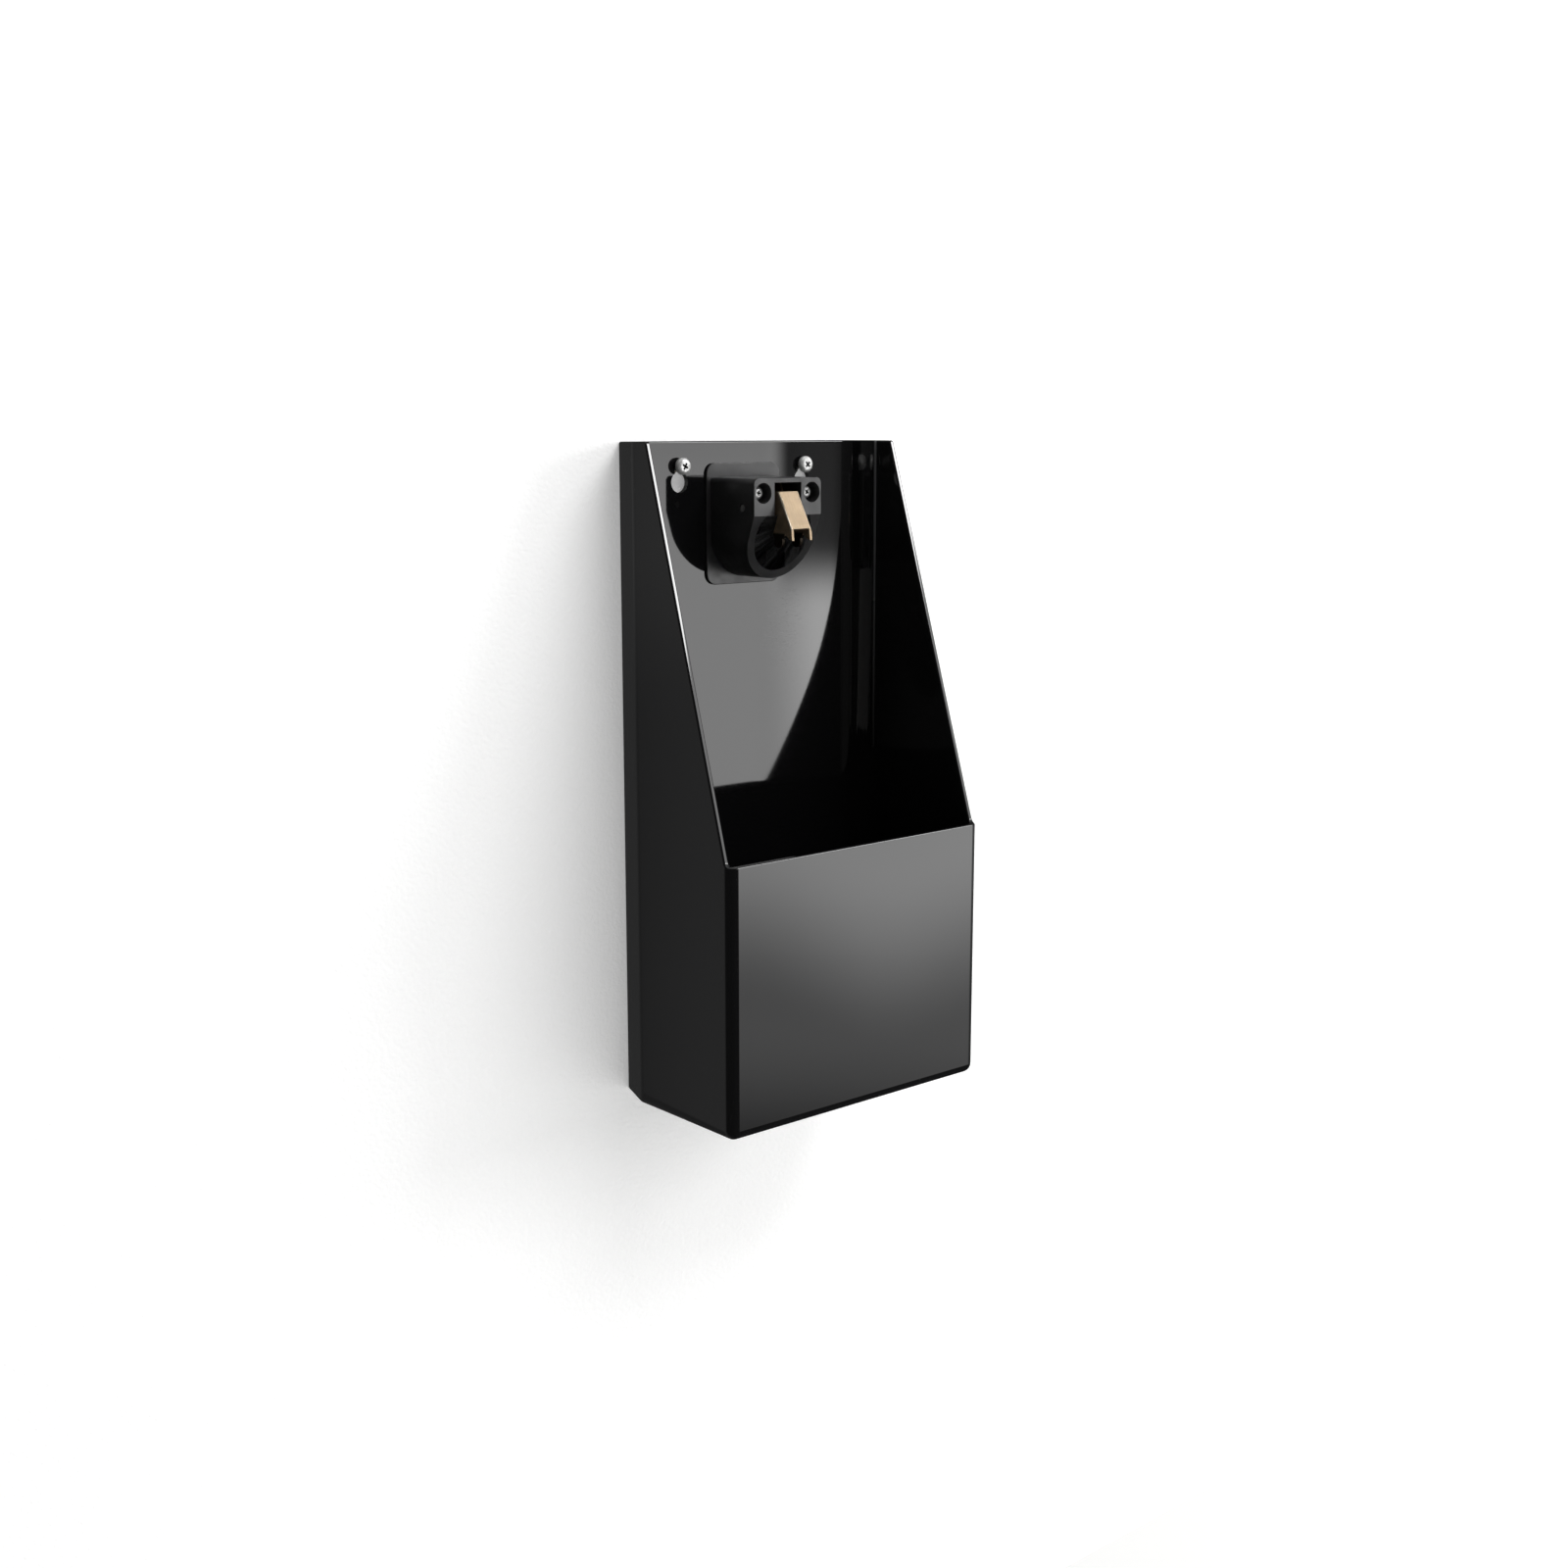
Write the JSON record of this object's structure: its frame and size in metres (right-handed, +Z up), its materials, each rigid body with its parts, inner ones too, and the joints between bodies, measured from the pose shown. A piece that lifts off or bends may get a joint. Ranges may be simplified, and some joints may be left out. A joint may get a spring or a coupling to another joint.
{
  "type": "wall-mounted bottle opener with cap catcher",
  "caption": "Wall-mounted crown-cap opener with a pinned steel claw above an open-fronted black catcher that lifts off its wall screws through keyholes.",
  "frame": {"origin": "on the wall plane, midway between the two wall screws", "axes": "+X to the right seen from the front, +Y into the wall, +Z up"},
  "size_m": [0.1746, 0.144, 0.35],
  "materials": {
    "catcher_plastic": "high gloss moulded",
    "wall_screw_zinc": "bright zinc plated",
    "plug_nylon": "moulded nylon",
    "insert_brass": "turned",
    "opener_plastic": "satin moulded, glass-filled",
    "claw_steel": "yellow passivated, bright sheared edges",
    "pin_steel": "ground",
    "spacer_nylon": "moulded nylon",
    "opener_screw_zinc": "zinc plated"
  },
  "bodies": {
    "wall_fixings": {"wall_screw_left": "wall_screw_zinc", "wall_screw_right": "wall_screw_zinc", "wall_plug_left": "plug_nylon", "wall_plug_right": "plug_nylon"},
    "catcher": {"catcher_shell": "catcher_plastic", "insert_left": "insert_brass", "insert_right": "insert_brass", "opener_base": "opener_plastic", "opener_housing": "opener_plastic", "claw_pin": "pin_steel", "pin_spacer_left": "spacer_nylon", "pin_spacer_right": "spacer_nylon", "opener_screw_left": "opener_screw_zinc", "opener_screw_right": "opener_screw_zinc"},
    "claw": {"opener_claw": "claw_steel"}
  },
  "joints": [
    {"name": "lift_off", "type": "slide", "parent": "wall_fixings", "child": "catcher", "axis": [0, 0, 1], "range_m": [0, 0.0084]},
    {"name": "claw_swing", "type": "hinge", "parent": "catcher", "child": "claw", "pos_m": [0, -0.0345, -0.0215], "axis": [-1, 0, 0], "range_deg": [0, 30]}
  ]
}
